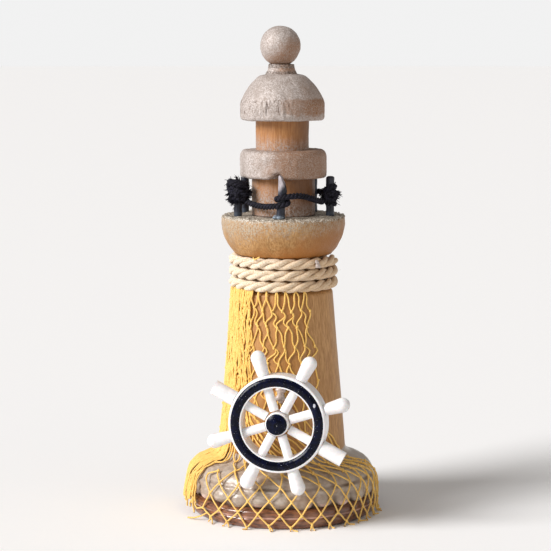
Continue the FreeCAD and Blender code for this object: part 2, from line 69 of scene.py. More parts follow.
def duplicateOf(piece):
    pickUp(piece)
    bpy.ops.object.duplicate(linked=False)
    return bpy.context.object


def applied(piece, kind, settings):
    pickUp(piece)
    made = piece.modifiers.new(kind.title(), kind)
    for key, value in settings.items():
        setattr(made, key, value)
    bpy.ops.object.modifier_apply(modifier=made.name)
    return piece


def smooth(piece, degrees=40):
    pickUp(piece)
    bpy.ops.object.shade_smooth_by_angle(angle=math.radians(degrees))
    return piece


def softCorners(corners, fine=4):
    # corners are (radius, height, how much the corner is rounded), in mm
    points = []
    for index, (radius, height, soft) in enumerate(corners):
        here = Vector((radius, height))
        if not soft or index in (0, len(corners) - 1):
            points.append(here)
            continue
        before = Vector(corners[index - 1][:2]) - here
        after = Vector(corners[index + 1][:2]) - here
        start = here + before.normalized() * min(soft, before.length * 0.48)
        end = here + after.normalized() * min(soft, after.length * 0.48)
        for step in range(fine + 1):
            share = step / fine
            points.append(start.lerp(here, share).lerp(here.lerp(end, share), share))
    return points


def closeSteps(points, gap):
    finer = [points[0]]
    for start, end in zip(points, points[1:]):
        count = max(1, math.ceil((end - start).length / gap))
        finer += [start.lerp(end, (step + 1) / count) for step in range(count)]
    return finer


def turnedOnLathe(name, corners, gap=0.8, steps=160, centre=(0.0, 0.0)):
    profile = closeSteps(softCorners(corners), gap)
    putDown()
    start = (centre[0] * mm + profile[0].x * mm, centre[1] * mm, profile[0].y * mm)
    bpy.ops.mesh.primitive_plane_add(size=0.001, location=start)
    piece = bpy.context.object
    bpy.ops.object.transform_apply(location=True, rotation=True, scale=True)
    bpy.ops.object.mode_set(mode="EDIT")
    bpy.ops.mesh.merge(type="CENTER")
    for near, far in zip(profile, profile[1:]):
        step = ((far.x - near.x) * mm, 0.0, (far.y - near.y) * mm)
        bpy.ops.mesh.extrude_vertices_move(TRANSFORM_OT_translate={"value": step})
    bpy.ops.mesh.select_all(action="SELECT")
    middle = (centre[0] * mm, centre[1] * mm, 0.0)
    bpy.ops.mesh.spin(steps=steps, angle=math.tau, center=middle, axis=(0.0, 0.0, 1.0))
    bpy.ops.mesh.select_all(action="SELECT")
    bpy.ops.mesh.remove_doubles(threshold=0.000004)
    bpy.ops.mesh.normals_make_consistent(inside=False)
    bpy.ops.object.mode_set(mode="OBJECT")
    piece.name = piece.data.name = name
    return piece


def ease(value, low, high):
    share = min(max((value - low) / (high - low), 0.0), 1.0)
    return share * share * (3 - 2 * share)


def unevenSkin(piece, depth, size, stretch=(1.0, 1.0, 1.0), seed=0, where=None):
    shift = Vector((seed * 3.7, seed * 1.9, seed * 7.3))
    moves = []
    for vert in piece.data.vertices:
        at = Vector([vert.co[i] / (size * mm) * stretch[i] for i in range(3)]) + shift
        amount = noise.fractal(at, 0.6, 2.1, 3) * depth * mm
        if where:
            amount *= where(vert.co / mm)
        moves.append(vert.normal * amount)
    for vert, move in zip(piece.data.vertices, moves):
        vert.co += move
    piece.data.update()
    return piece


def rides(piece, slot, *stoodFor):
    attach(piece, "root")
    if stoodFor:
        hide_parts(*stoodFor)
    return piece


# shader sums and finishes

class Wire:
    def __init__(self, finish, socket):
        self.finish = finish
        self.socket = socket

    def sum(self, operation, other=None, swapped=False):
        pair = [self, other] if not swapped else [other, self]
        return self.finish.node(
            "ShaderNodeMath", {"operation": operation},
            {index: value for index, value in enumerate(pair) if value is not None})

    def __add__(self, other): return self.sum("ADD", other)
    def __radd__(self, other): return self.sum("ADD", other, True)
    def __sub__(self, other): return self.sum("SUBTRACT", other)
    def __rsub__(self, other): return self.sum("SUBTRACT", other, True)
    def __mul__(self, other): return self.sum("MULTIPLY", other)
    def __rmul__(self, other): return self.sum("MULTIPLY", other, True)
    def __truediv__(self, other): return self.sum("DIVIDE", other)
    def __pow__(self, other): return self.sum("POWER", other)

    def most(self, other): return self.sum("MAXIMUM", other)

    def between(self, low, high, start=0.0, end=1.0):
        return self.finish.node(
            "ShaderNodeMapRange", {"interpolation_type": "SMOOTHSTEP"},
            {0: self, 1: low, 2: high, 3: start, 4: end})


def tint(red, green, blue):
    # what a paint looks like, 0 to 255, as light
    parts = [part / 255 for part in (red, green, blue)]
    light = [p / 12.92 if p <= 0.04045 else ((p + 0.055) / 1.055) ** 2.4 for p in parts]
    return (*light, 1.0)


class Finish:
    def __init__(self, name):
        self.material = bpy.data.materials.new(name)
        self.material.use_nodes = True
        self.tree = self.material.node_tree
        self.tree.nodes.clear()
        self.place = self.node("ShaderNodeTexCoord", {}, {}, "Object")

    def node(self, kind, settings=None, sockets=None, out=0):
        made = self.tree.nodes.new(kind)
        for key, value in (settings or {}).items():
            if key == "stops":
                ramp = made.color_ramp
                while len(ramp.elements) < len(value):
                    ramp.elements.new(0.5)
                for stop, (at, colour) in zip(ramp.elements, value):
                    stop.position, stop.color = at, colour
            else:
                setattr(made, key, value)
        for key, value in (sockets or {}).items():
            if isinstance(value, Wire):
                self.tree.links.new(value.socket, made.inputs[key])
            else:
                made.inputs[key].default_value = value
        return Wire(self, made.outputs[out] if made.outputs else None)

    def stretched(self, size, along=(1.0, 1.0, 1.0), turn=(0.0, 0.0, 0.0)):
        scale = tuple(1 / (size * mm) / part for part in along)
        return self.node("ShaderNodeMapping", {}, {"Vector": self.place, "Scale": scale, "Rotation": turn})

    def grain(self, size, along=(1.0, 1.0, 1.0), detail=3.0, rough=0.6, twist=0.0):
        return self.node(
            "ShaderNodeTexNoise", {},
            {"Vector": self.stretched(size, along), "Scale": 1.0, "Detail": detail,
             "Roughness": rough, "Distortion": twist})

    def height(self):
        return self.node("ShaderNodeSeparateXYZ", {}, {0: self.place}, "Z") / mm

    def across(self, letter="X"):
        return self.node("ShaderNodeSeparateXYZ", {}, {0: self.place}, letter) / mm

    def mixed(self, share, first, second, blend="MIX"):
        return self.node(
            "ShaderNodeMix", {"data_type": "RGBA", "blend_type": blend},
            {0: share, 6: first, 7: second}, 2)

    def relief(self, height, distance, strength=1.0, under=None):
        sockets = {"Height": height, "Distance": distance * mm, "Strength": strength}
        if under:
            sockets["Normal"] = under
        return self.node("ShaderNodeBump", {}, sockets)

    def surface(self, **sockets):
        named = {key.replace("_", " "): value for key, value in sockets.items()}
        shader = self.node("ShaderNodeBsdfPrincipled", {}, named)
        self.node("ShaderNodeOutputMaterial", {}, {"Surface": shader})
        return self.material


def painted(piece, material):
    piece.data.materials.clear()
    piece.data.materials.append(material)
    return piece


# camera, light and floor

view = {"at": (-0.00234, -0.51753, 0.13883), "down": 7.5, "lens": 113.7, "sensor": 36.0}

bpy.ops.object.camera_add(location=view["at"], rotation=(math.radians(90 - view["down"]), 0.0, 0.0))
camera = bpy.context.object
camera.data.lens, camera.data.sensor_width = view["lens"], view["sensor"]
camera.data.clip_start, camera.data.clip_end = 0.01, 50.0
bpy.context.scene.camera = camera

studio = {
    "window": {"from": (-0.88, -0.42, 0.55), "power": 4.0, "soft": 28.0, "colour": (1.0, 0.99, 0.985)},
    "card": {"from": (0.75, -0.55, 0.30), "power": 0.35, "soft": 60.0, "colour": (1.0, 0.90, 0.78)},
    "fill": (1.0, 0.97, 0.94), "fillPower": 0.30, "backdrop": 0.885,
    "paper": (tint(254, 254, 254), tint(251, 251, 252)),
}


def lightStudio():
    for name in ("window", "card"):
        facts = studio[name]
        bpy.ops.object.light_add(type="SUN", location=facts["from"])
        lamp = bpy.context.object
        lamp.name = name
        lamp.rotation_euler = Vector(facts["from"]).to_track_quat("Z", "Y").to_euler()
        lamp.data.angle = math.radians(facts["soft"])
        lamp.data.energy, lamp.data.color = facts["power"], facts["colour"]
    room = bpy.data.worlds.new("room")
    room.use_nodes = True
    tree = room.node_tree
    fill = tree.nodes["Background"]
    fill.inputs["Color"].default_value = (*studio["fill"], 1.0)
    fill.inputs["Strength"].default_value = studio["fillPower"]
    back = tree.nodes.new("ShaderNodeBackground")
    back.inputs["Color"].default_value = (1.0, 1.0, 1.0, 1.0)
    back.inputs["Strength"].default_value = studio["backdrop"]
    seen, either = tree.nodes.new("ShaderNodeLightPath"), tree.nodes.new("ShaderNodeMixShader")
    tree.links.new(seen.outputs["Is Camera Ray"], either.inputs[0])
    tree.links.new(fill.outputs[0], either.inputs[1])
    tree.links.new(back.outputs[0], either.inputs[2])
    tree.links.new(either.outputs[0], tree.nodes["World Output"].inputs[0])
    bpy.context.scene.world = room
    bpy.context.scene.view_settings.view_transform = "Standard"
    bpy.ops.mesh.primitive_circle_add(vertices=96, radius=12.0, fill_type="NGON", location=(0.0, 0.0, 0.0))
    floor = bpy.context.object
    floor.name = "floor"
    paper = Finish("pale paper")
    fibre = paper.grain(1.4, detail=4.0)
    colour = paper.mixed(fibre, *studio["paper"])
    painted(floor, paper.surface(Base_Color=colour, Roughness=0.8, Normal=paper.relief(fibre, 0.02, 0.3)))


lightStudio()
print("studio ready")


# cords on the gallery rail and the rope under the bowl

railCord = {
    "thick": 1.9,
    "strands": 3,
    "lay": 3.4,
    "front": [
        (-10.6, -6.9, 93.4), (-7.3, -11.2, 92.3), (-1.9, -15.8, 92.9), (1.2, -15.8, 93.6),
        (1.2, -12.7, 94.2), (-1.9, -12.7, 94.7), (-1.9, -15.8, 95.1), (1.6, -15.9, 95.8),
        (5.4, -14.0, 95.9), (8.7, -10.4, 94.5), (11.4, -6.5, 93.4)],
    "back": [
        (13.9, -0.6, 94.8), (13.9, 4.8, 93.9), (12.6, 11.0, 94.8), (9.0, 14.3, 95.0), (2.8, 14.2, 93.8),
        (-4.2, 13.2, 93.5), (-11.1, 11.95, 94.7), (-14.8, 8.7, 94.8), (-14.9, 3.4, 94.0), (-14.3, -1.3, 94.7)],
}
neckRope = {"thick": 3.3, "strands": 3, "lay": 13.5, "wind": 14.75, "low": 69.1, "climb": 3.35,
            "start": 125.0, "perTurn": 16, "points": 43}


def routeLine(points, name="route"):
    # one smooth line through the neighbourhood of the route's points
    line = bpy.data.curves.new(name, "CURVE")
    line.dimensions = "3D"
    line.resolution_u = 8
    spline = line.splines.new("NURBS")
    spline.points.add(len(points) - 1)
    for spot, point in zip(spline.points, points):
        spot.co = (point[0] * mm, point[1] * mm, point[2] * mm, 1.0)
    spline.order_u = 3
    spline.use_endpoint_u = True
    holder = bpy.data.objects.new(name, line)
    bpy.context.scene.collection.objects.link(holder)
    bpy.context.view_layer.update()
    walked = bpy.data.meshes.new_from_object(holder)
    path = [vert.co.copy() for vert in walked.vertices]
    bpy.data.meshes.remove(walked)
    bpy.data.objects.remove(holder)
    bpy.data.curves.remove(line)
    return path


def evenly(path, gap):
    # the same line, with its points a fixed distance apart
    marks = [0.0]
    for near, far in zip(path, path[1:]):
        marks.append(marks[-1] + (far - near).length)
    count = max(2, round(marks[-1] / (gap * mm)))
    spread, index = [], 0
    for step in range(count + 1):
        want = marks[-1] * step / count
        while index < len(marks) - 2 and marks[index + 1] < want:
            index += 1
        part = (want - marks[index]) / max(marks[index + 1] - marks[index], 1e-9)
        spread.append(path[index].lerp(path[index + 1], part))
    return spread, marks[-1]


def framesAlong(path):
    sides, last = [], None
    for index in range(len(path)):
        ahead = (path[min(index + 1, len(path) - 1)] - path[max(index - 1, 0)]).normalized()
        if last is None:
            last = ahead.orthogonal().normalized()
        last = (last - ahead * last.dot(ahead)).normalized()
        sides.append((last.copy(), ahead.cross(last).normalized()))
    return sides


def tubes(name, lines, thick, sides=8, caps=True):
    # each line is a list of (point, thickness share); together they make one mesh
    line = bpy.data.curves.new(name, "CURVE")
    line.dimensions = "3D"
    line.bevel_depth = thick / 2 * mm
    line.bevel_resolution = max(0, sides // 2 - 2)
    line.use_fill_caps = caps
    for points in lines:
        spline = line.splines.new("POLY")
        spline.points.add(len(points) - 1)
        for spot, (point, share) in zip(spline.points, points):
            spot.co = (*point, 1.0)
            spot.radius = share
    holder = bpy.data.objects.new(name, line)
    bpy.context.scene.collection.objects.link(holder)
    pickUp(holder)
    bpy.ops.object.convert(target="MESH")
    piece = bpy.context.object
    piece.name = piece.data.name = name
    bpy.ops.object.shade_smooth()
    return piece


def laidStrands(path, thick, strands, lay, gap, phase=0.0, wander=0.0, seed=0):
    # the strands of a rope twisted round a line
    points, length = evenly(path, gap)
    sides = framesAlong(points)
    strand = thick * 0.47
    out = (thick / 2 - strand / 2) * mm
    lines = []
    for each in range(strands):
        line = []
        for index, (point, (side, up)) in enumerate(zip(points, sides)):
            run = length / mm * index / (len(points) - 1)
            loose = noise.noise(Vector((run * 0.35, each * 9.1, seed))) * wander
            turn = -math.tau * run / lay + math.tau * each / strands + phase + loose
            share = 1.0 + noise.noise(Vector((run * 0.6, each * 5.3, seed + 4))) * 0.10
            line.append((point + (side * math.cos(turn) + up * math.sin(turn)) * out, share))
        lines.append(line)
    return lines, strand, length


def fuzz(path, thick, count, reach, seed, flat=0.35):
    # fine fibres standing off a cord
    chance = random.Random(seed)
    points = evenly(path, 0.5)[0]
    sides = framesAlong(points)
    lines = []
    for hair in range(count):
        at = chance.randrange(1, len(points) - 1)
        side, up = sides[at]
        turn = chance.uniform(0, math.tau)
        out = side * math.cos(turn) + up * math.sin(turn)
        along = (points[at + 1] - points[at - 1]).normalized() * chance.choice((-1, 1))
        start = points[at] + out * thick * 0.42 * mm
        bend = Vector([chance.uniform(-0.4, 0.4) for axis in range(3)])
        run = chance.uniform(0.4, 1.0) * reach * mm
        line = []
        for step in range(5):
            share = step / 4
            go = (out * flat + along * (1 - flat) + bend * share).normalized()
            line.append((start + go * run * share, 1.0 - 0.7 * share))
        lines.append(line)
    return lines


def cordFinish():
    cord = Finish("navy cord")
    yarn = cord.grain(0.45, (1, 1, 1), 3.0, 0.7)
    patch = cord.grain(3.0, detail=2.0)
    colour = cord.mixed(yarn.between(0.40, 0.70), tint(8, 8, 13), tint(46, 43, 58))
    colour = cord.mixed(patch.between(0.50, 0.75, 0.0, 0.35), colour, tint(22, 22, 46))
    return cord.surface(Base_Color=colour, Roughness=0.8, Specular_IOR_Level=0.25,
                        Normal=cord.relief(yarn, 0.12, 0.9))


def makeRailCord(name, route, seed):
    path = routeLine(route, name)
    lines, strand, length = laidStrands(
        path, railCord["thick"], railCord["strands"], railCord["lay"], 0.3, seed=seed)
    body = tubes(name, lines, strand, 8)
    hairs = tubes(name + "_hair", fuzz(path, railCord["thick"], 60, 1.3, seed, 0.5), 0.07, 4)
    piece = painted(joined(name, [body, hairs]), navyCord)
    rides(piece, "rail_cord", name)
    [tuple(p) for p in evenly(path, 0.6)[0]]
    print(name, "length", round(length / mm, 1), "mm")


navyCord = cordFinish()


def ropeRoute():
    # turns side by side, each stepping up to the next at the back
    perTurn, route = neckRope["perTurn"], []
    reach = neckRope["wind"] / math.cos(math.pi / perTurn)
    for step in range(neckRope["points"]):
        turn, within = divmod(step, perTurn)
        rise = ease(within / perTurn, 2 / 3, 1.0)
        angle = math.radians(neckRope["start"] + 360 * step / perTurn)
        route.append((reach * math.cos(angle), reach * math.sin(angle),
                      neckRope["low"] + neckRope["climb"] * (turn + rise)))
    return route


def ropeFinish():
    rope = Finish("cream rope")
    yarn = rope.grain(0.35, (1, 1, 1), 4.0, 0.65)
    cloud = rope.grain(4.0, detail=2.0)
    side = rope.across("X")
    colour = rope.mixed(yarn.between(0.30, 0.70), tint(204, 176, 138), tint(250, 238, 220))
    colour = rope.mixed(cloud.between(0.45, 0.75, 0.0, 0.4), colour, tint(214, 186, 150))
    # painted shade: darker, browner towards the right side, away from the light
    colour = rope.mixed(side.between(-10.0, 16.0, 0.0, 0.55), colour, tint(206, 164, 112))
    return rope.surface(Base_Color=colour, Roughness=0.85, Normal=rope.relief(yarn, 0.14, 0.8),
                        Sheen_Weight=0.2, Sheen_Roughness=0.6)


def makeNeckRope():
    path = routeLine(ropeRoute(), "neck_rope")
    lines, strand, length = laidStrands(
        path, neckRope["thick"], neckRope["strands"], neckRope["lay"], 0.55, wander=0.5, seed=3)
    body = tubes("neck_rope", lines, strand, 12)
    hairs = tubes("rope_hair", fuzz(path, neckRope["thick"], 260, 2.4, 5, 0.3), 0.06, 4)
    piece = painted(joined("neck_rope", [body, hairs]), ropeFinish())
    rides(piece, "jute_rope", "neck_rope")
    print("neck rope length", round(length / mm, 1), "mm")
    return piece


makeNeckRope()
print("cords ready")


# wood, paint and lacquer

woods = {
    "tan": (tint(203, 157, 102), tint(160, 112, 62)),
    "bowl": (tint(194, 150, 94), tint(148, 102, 50)),
    "orange": (tint(180, 126, 74), tint(152, 98, 50)),
    "silver": (tint(207, 198, 194), tint(146, 131, 121)),
    "grey": (tint(186, 173, 160), tint(158, 142, 128)),
    "lacquer": (tint(146, 90, 56), tint(80, 46, 32)),
}


def woodColour(finish, pair, fine=0.35, long=14.0):
    fibre = finish.grain(fine, (1, 1, long), 4.0, 0.65, 0.3)
    ring = finish.grain(3.0, (1, 1, 6), 2.0, 0.5)
    colour = finish.mixed(fibre.between(0.32, 0.68), pair[1], pair[0])
    colour = finish.mixed(ring.between(0.40, 0.72, 0.0, 0.45), colour, pair[1])
    return colour, fibre


def towerWood():
    wood = Finish("tower wood")
    colour, fibre = woodColour(wood, woods["tan"])
    colour = wood.mixed(wood.across("X").between(3.0, 9.0, 0.6, 0.0), colour, tint(172, 118, 54))
    speck = wood.grain(0.42, (1, 1, 1.5), 3.0, 0.75)
    relief = wood.relief(fibre, 0.10, 0.55)
    relief = wood.relief(speck, 0.10, 0.35, relief)
    return wood.surface(Base_Color=colour, Roughness=fibre.between(0.2, 0.8, 0.44, 0.62), Normal=relief)


def bowlWood():
    # darker, browner wood low down and on the right as painted shade, grey paint rubbed into the side, chalky
    # crumbs on the rim and floor
    wood = Finish("bowl wood")
    colour, fibre = woodColour(wood, woods["bowl"], 0.40, 8.0)
    speck = wood.grain(0.42, (1, 1, 1.3), 3.0, 0.8)
    cloud = wood.grain(4.0, detail=2.0)
    side, up = wood.across("X"), wood.height()
    # painted shade: warmer, darker brown low down and towards the right
    warmShade = (side * 0.35 - (up - 83.0) * 0.9 + (cloud - 0.5) * 10.0).between(-1.5, 6.0)
    colour = wood.mixed(warmShade * 0.8, colour, tint(172, 108, 42))
    # painted shade: darker again towards the right side
    colour = wood.mixed(side.between(2.0, 16.0, 0.0, 0.5), colour, tint(134, 86, 40))
    rub = (up - side * 0.12 + (speck - 0.5) * 7.0 + (cloud - 0.5) * 9.0).between(82.0, 88.5)
    colour = wood.mixed(rub * speck.between(0.44, 0.56, 0.15, 0.95), colour, tint(176, 164, 146))
    pits = wood.grain(0.36, (1, 1, 1), 2.0, 0.7).between(0.60, 0.66)
    colour = wood.mixed(pits * rub * 0.8, colour, tint(98, 76, 54))
    crumbs = wood.mixed(speck.between(0.42, 0.60), tint(104, 92, 78), tint(226, 218, 204))
    colour = wood.mixed((up + (speck - 0.5) * 1.6).between(87.9, 88.8) * 0.85, colour, crumbs)
    relief = wood.relief(fibre, 0.10, 0.5)
    relief = wood.relief(speck, 0.16, 0.6, relief)
    return wood.surface(Base_Color=colour, Roughness=speck.between(0.3, 0.7, 0.42, 0.66), Normal=relief)


def drumWood(name, paintFull, paintNone, slant, shade):
    # orange wood, darker on the shaded side, under grey paint that thins upwards
    wood = Finish(name)
    colour, fibre = woodColour(wood, woods["orange"])
    speck = wood.grain(0.45, (1, 1, 1.3), 3.0, 0.8)
    cloud = wood.grain(2.6, (1, 1, 1.6), 2.0)
    side, up = wood.across("X"), wood.height()
    colour = wood.mixed((side + (cloud - 0.5) * 4.0).between(shade, 8.5) * 0.75, colour, tint(92, 56, 28))
    rub = (up + side * slant + (speck - 0.5) * 7.0 + (cloud - 0.5) * 5.0).between(paintFull, paintNone, 1.0, 0.0)
    rub = rub * speck.between(0.45, 0.55, 0.12, 1.0)
    colour = wood.mixed(rub * 0.9, colour, tint(178, 165, 158))
    seam = (up - 89.0).between(0.1, 0.5, 0.8, 0.0)
    colour = wood.mixed(seam, colour, tint(46, 34, 28))
    relief = wood.relief(fibre, 0.10, 0.6)
    relief = wood.relief(speck, 0.12, 0.55, relief)
    return wood.surface(Base_Color=colour, Roughness=0.52, Metallic=rub * 0.15, Normal=relief)


def silverPaint(name, wearShadeFrom, wearShadeTo, foot=0.0, sink=0.0, band=None, seams=()):
    # matt pearl-grey paint, brown on one side and towards the foot, partly rubbed through to the wood and partly
    # painted shade, and rubbed through in a band
    paint = Finish(name)
    colour, fibre = woodColour(paint, woods["silver"], 0.40, 1.0)
    speck = paint.grain(0.32, (1, 1, 1), 3.0, 0.8)
    cloud = paint.grain(4.5, (1, 1, 1), 2.0, 0.5)
    side, up = paint.across("X"), paint.height()
    # brown towards the right side and, with sink, towards the foot: partly paint rubbed through to the wood, partly
    # painted shade
    wearAndShade = (side + (cloud - 0.5) * 11.0 - (up - foot) * sink).between(wearShadeFrom, wearShadeTo)
    if band:
        low, high = band
        level = up + (cloud - 0.5) * 3.0
        inBand = level.between(low, low + 1.0) * level.between(high - 0.8, high, 1.0, 0.0)
        wearAndShade = wearAndShade * 0.45 + inBand * (side + (cloud - 0.5) * 8.0).between(-3.0, 2.5) * 0.75
        crack = paint.grain(0.42, (1, 1, 7), 3.0, 0.6).between(0.56, 0.62)
        crack = crack * inBand * side.between(0.0, 3.0, 1.0, 0.0)
        colour = paint.mixed(crack * 0.8, colour, tint(84, 64, 52))
    wearAndShade = wearAndShade * speck.between(0.40, 0.58, 0.5, 1.0)
    colour = paint.mixed(wearAndShade * 0.88, colour, tint(136, 92, 54))
    for low, high in seams:
        close = up.between(low - 0.3, low) * up.between(high, high + 0.3, 1.0, 0.0)
        colour = paint.mixed(close * speck.between(0.42, 0.52) * 0.8, colour, tint(64, 48, 38))
        colour = paint.mixed(close * speck.between(0.58, 0.66), colour, tint(232, 224, 216))
    relief = paint.relief(speck, 0.12, 0.6)
    relief = paint.relief(fibre, 0.10, 0.45, relief)
    return paint.surface(Base_Color=colour, Metallic=0.12 - wearAndShade * 0.12, Specular_IOR_Level=0.4,
                         Roughness=speck.between(0.3, 0.7, 0.46, 0.64), Normal=relief)


def greyWood():
    # grey paint over the mound, lighter on the right as painted light, painted shade in the groove and between the
    # lobes, and glossy drips along the lobes' lower edges with a painted pinkish highlight
    paint = Finish("grey wood")
    fibre = paint.grain(0.9, (2, 2, 1), 4.0, 0.5)
    cloud = paint.grain(5.0, detail=2.0)
    drip = paint.node("ShaderNodeAttribute", {"attribute_name": "drip"}, {}, "Fac")
    dark = paint.node("ShaderNodeAttribute", {"attribute_name": "crevice"}, {}, "Fac")
    colour = paint.mixed(fibre.between(0.30, 0.72), woods["grey"][1], woods["grey"][0])
    colour = paint.mixed(cloud.between(0.42, 0.72, 0.0, 0.5), colour, tint(150, 118, 90))
    # painted light: lighter towards the right side
    colour = paint.mixed(paint.across("X").between(12.0, 24.0, 0.0, 0.5), colour, tint(200, 188, 172))
    # painted shade: darker in the groove and between the lobes
    colour = paint.mixed(dark * 0.75, colour, tint(74, 52, 40))
    # glossy drips along the lobes' lower edges, their pale pinkish colour a painted highlight
    colour = paint.mixed(drip * fibre.between(0.3, 0.6, 0.6, 0.95), colour, tint(226, 192, 182))
    return paint.surface(Base_Color=colour, Roughness=fibre.between(0.2, 0.8, 0.30, 0.46),
                         Coat_Weight=0.35 + drip * 0.55, Coat_Roughness=0.18, Normal=paint.relief(fibre, 0.03, 0.5))


def brownLacquer():
    lacquer = Finish("brown lacquer")
    fibre = lacquer.grain(0.5, (6, 6, 1), 3.0, 0.6)
    cloud = lacquer.grain(5.0, detail=2.0)
    colour = lacquer.mixed(fibre.between(0.35, 0.70), woods["lacquer"][1], woods["lacquer"][0])
    colour = lacquer.mixed(cloud.between(0.45, 0.75, 0.0, 0.5), colour, tint(178, 124, 86))
    # painted shade: darker towards the right side
    colour = lacquer.mixed(lacquer.across("X").between(-6.0, 22.0, 0.0, 0.6), colour, tint(92, 54, 36))
    # painted highlight: a pale pinkish line round the plinth's ridge at about 3 mm up
    line = (lacquer.height() + (fibre - 0.5) * 0.5).between(3.0, 3.3) * lacquer.height().between(3.5, 3.8, 1.0, 0.0)
    colour = lacquer.mixed(line * cloud.between(0.35, 0.6, 0.2, 0.8), colour, tint(214, 172, 158))
    return lacquer.surface(Base_Color=colour, Roughness=0.34, Coat_Weight=0.6, Coat_Roughness=0.14,
                           Normal=lacquer.relief(fibre, 0.06, 0.4))


def postPaint(name, tip=None):
    # navy paint, with the cut tip of the front post left pale
    paint = Finish(name)
    speck = paint.grain(0.5, (1, 1, 2), 3.0, 0.7)
    up = paint.height()
    foot = (up + (speck - 0.5) * 1.0).between(90.6, 90.0)
    colour = paint.mixed(speck.between(0.35, 0.7), tint(12, 14, 28), tint(32, 38, 56))
    if tip:
        pale = (up - paint.across("X") * 1.0 + (speck - 0.5) * 1.4).between(*tip)
        colour = paint.mixed(pale * speck.between(0.3, 0.6, 0.6, 0.9), colour, tint(180, 172, 176))
    colour = paint.mixed(foot * 0.15, colour, tint(110, 128, 148))
    return paint.surface(Base_Color=colour, Roughness=0.42, Normal=paint.relief(speck, 0.10, 0.5))


def glue(name, light, dark):
    drop = Finish(name)
    cloud = drop.grain(0.8, detail=2.0)
    colour = drop.mixed(cloud, light, dark)
    return drop.surface(Base_Color=colour, Roughness=0.28, Coat_Weight=0.4, Normal=drop.relief(cloud, 0.1, 0.4))


# the turned wooden stack

stack = {
    "tower_body": {
        "corners": [(0.0, 16.6, 0), (18.7, 16.6, 0.1), (18.75, 19.5, 0.5), (17.1, 38.8, 0.5),
                    (14.72, 66.5, 0.6), (13.0, 67.6, 0.3), (13.0, 77.4, 0.2), (0.0, 77.4, 0)],
        "gap": 1.0, "wave": 0.16, "size": 6.0, "along": 0.22},
    "gallery_bowl": {
        "corners": [(0.0, 77.5, 0), (14.3, 77.5, 0.4), (16.1, 79.7, 1.2), (17.3, 81.9, 1.2), (18.15, 84.4, 1.2),
                    (18.45, 86.4, 0.8), (18.3, 88.5, 0.5), (17.5, 89.0, 0.3), (0.0, 89.0, 0)],
        "gap": 0.6, "wave": 0.20, "size": 4.0, "along": 0.6},
    "watch_room": {
        "corners": [(0.0, 88.9, 0), (9.4, 88.9, 0.1), (9.45, 92.0, 0.5), (9.35, 100.4, 0.1), (0.0, 100.4, 0)],
        "gap": 0.6, "wave": 0.12, "size": 1.3, "along": 0.14},
    "lantern_disc": {
        "corners": [(0.0, 100.3, 0), (12.4, 100.3, 0.3), (12.85, 100.8, 0.3), (12.85, 107.3, 0.9),
                    (11.9, 108.5, 0.9), (0.0, 108.5, 0)],
        "gap": 0.4, "wave": 0.16, "size": 3.0, "along": 0.7},
    "lantern_neck": {
        "corners": [(0.0, 108.4, 0), (7.9, 108.4, 0.1), (7.85, 112.0, 0.5), (7.9, 117.3, 0.1), (0.0, 117.3, 0)],
        "gap": 0.6, "wave": 0.10, "size": 1.3, "along": 0.14, "shift": -0.3},
    "roof_dome": {
        "corners": [(0.0, 117.2, 0), (11.9, 117.2, 0.6), (12.45, 117.9, 0.5), (12.5, 122.3, 1.1),
                    (11.49, 124.69, 1.2), (10.18, 126.78, 1.2), (8.59, 128.65, 1.2), (6.9, 130.2, 0.9),
                    (4.7, 130.75, 0.8), (0.0, 130.7, 0)],
        "gap": 0.45, "wave": 0.14, "size": 3.5, "along": 0.5, "shift": -0.3},
    "finial_collar": {
        "corners": [(0.0, 130.5, 0), (4.75, 130.5, 0.1), (4.5, 131.2, 0.4), (3.9, 132.2, 0.5),
                    (3.8, 133.6, 0.2), (0.0, 133.8, 0)],
        "gap": 0.4, "wave": 0.16, "size": 1.6, "along": 1.0, "shift": -0.6},
}
chip = {"from": -111.0, "peak": -95.5, "to": -88.0, "rise": 1.75, "bite": 0.9, "reach": 2.6,
        "floor": 100.3, "inside": 9.6}
ball = {"radius": 5.95, "middle": (-0.9, 0.0, 138.98)}


def turnedWood(name):
    facts = stack[name]
    centre = (facts.get("shift", 0.0), 0.0)
    piece = turnedOnLathe(name, facts["corners"], facts["gap"], 200, centre)
    unevenSkin(piece, facts["wave"], facts["size"], (1, 1, facts["along"]), len(name))
    return piece


def chippedDisc():
    piece = turnedWood("lantern_disc")
    for vert in piece.data.vertices:
        angle = math.degrees(math.atan2(vert.co.y, vert.co.x))
        rising = min((angle - chip["from"]) / (chip["peak"] - chip["from"]),
                     (chip["to"] - angle) / (chip["to"] - chip["peak"]))
        near = 1 - ease(vert.co.z / mm - chip["floor"], 0.0, chip["reach"])
        if rising * near > 0 and vert.co.xy.length > chip["inside"] * mm:
            rough = 1 + 0.5 * noise.noise(vert.co / mm * 1.3)
            vert.co.z += chip["rise"] * rising * near * rough * mm
            inward = 1 - chip["bite"] * rising * near * rough * mm / vert.co.xy.length
            vert.co.x, vert.co.y = vert.co.x * inward, vert.co.y * inward
    return piece


def streakedRoof():
    piece = turnedWood("roof_dome")
    band = lambda at: ease(at.z, 117.6, 118.8) * (1 - ease(at.z, 122.6, 124.4)) * (1 - ease(at.x, 0.0, 6.0) * 0.7)
    return unevenSkin(piece, 0.24, 0.6, (1, 1, 0.12), 21, band)


def crumbledBowl():
    piece = turnedWood("gallery_bowl")
    rim = lambda at: ease(at.z, 87.6, 88.6) * ease(at.xy.length, 11.0, 15.5)
    return unevenSkin(piece, 0.45, 0.8, (1, 1, 1), 31, rim)


def makeBall():
    putDown()
    bpy.ops.mesh.primitive_uv_sphere_add(segments=72, ring_count=48, radius=ball["radius"] * mm,
                                         location=[v * mm for v in ball["middle"]])
    piece = joined("finial_ball", [bpy.context.object])
    return unevenSkin(piece, 0.12, 3.0, (1, 1, 1), 6)


